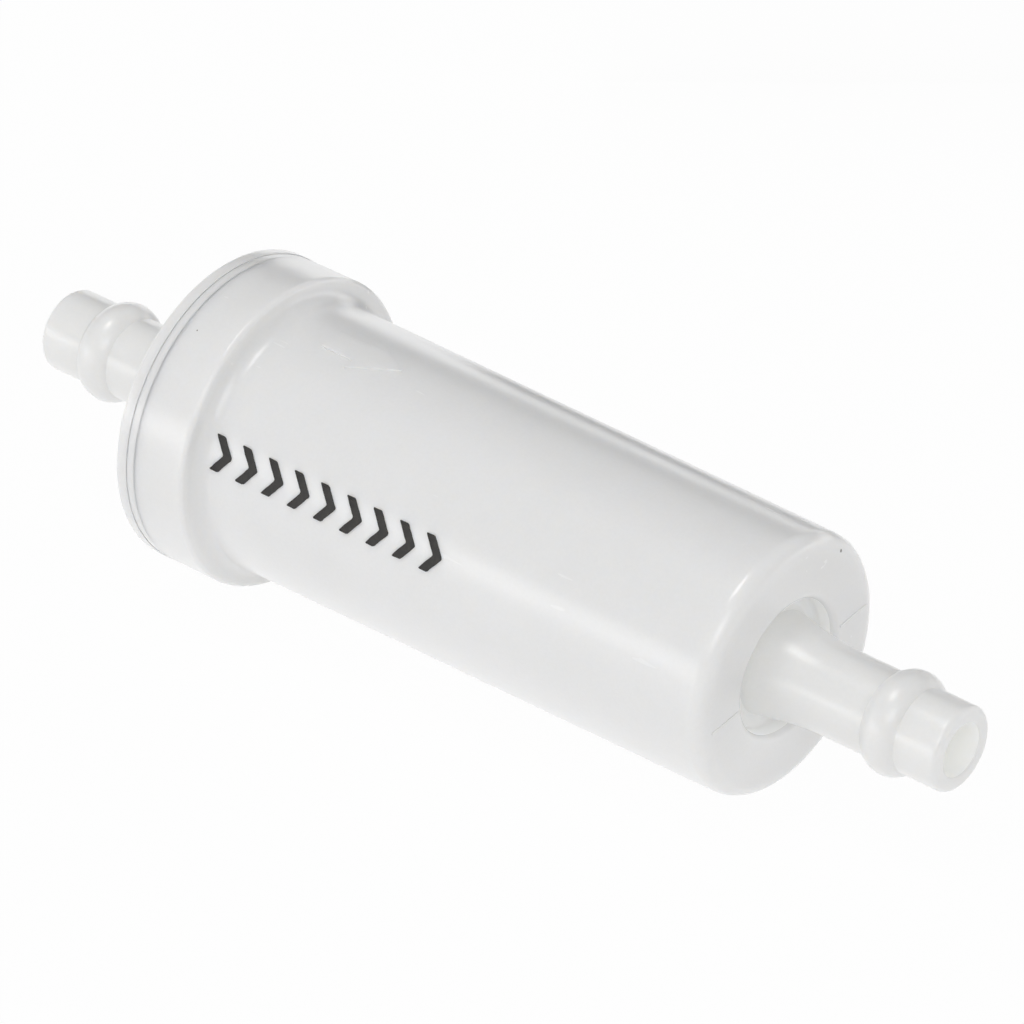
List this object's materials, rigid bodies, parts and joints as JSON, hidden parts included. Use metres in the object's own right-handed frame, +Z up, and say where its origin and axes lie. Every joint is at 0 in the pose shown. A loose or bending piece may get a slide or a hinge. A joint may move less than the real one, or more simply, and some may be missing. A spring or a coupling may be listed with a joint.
{
  "type": "inline fuel filter",
  "caption": "Inline fuel filter: flanged cylindrical nylon housing with a beaded hose nipple at each end and a sealed pleated paper element inside.",
  "frame": {"origin": "on the flow axis, halfway between the tips of the two nipples", "axes": "+X along the flow, from the inlet nipple to the outlet nipple; +Z up as the filter lies on its side, flow arrow uppermost"},
  "size_m": [0.105, 0.0304, 0.0304],
  "materials": {
    "nylon_housing": "natural milky translucent nylon, satin gloss",
    "nylon_cap": "natural milky translucent nylon, satin gloss",
    "nylon_weld": "melted and set natural nylon",
    "element_plastic": "white moulded nylon",
    "filter_paper": "resin-treated pleated filter paper",
    "seam_strip": "heat-sealed tape",
    "potting": "cast adhesive",
    "seal_rubber": "fuel-resistant rubber"
  },
  "bodies": {
    "root": {"housing_body": "nylon_housing", "inlet_cap": "nylon_cap", "weld_ring": "nylon_weld", "element_inlet_plate": "element_plastic", "element_outlet_plate": "element_plastic", "core_tube": "element_plastic", "filter_paper": "filter_paper", "pleat_seam_strip": "seam_strip", "inlet_potting": "potting", "outlet_potting": "potting", "neck_seal": "seal_rubber"}
  },
  "joints": []
}
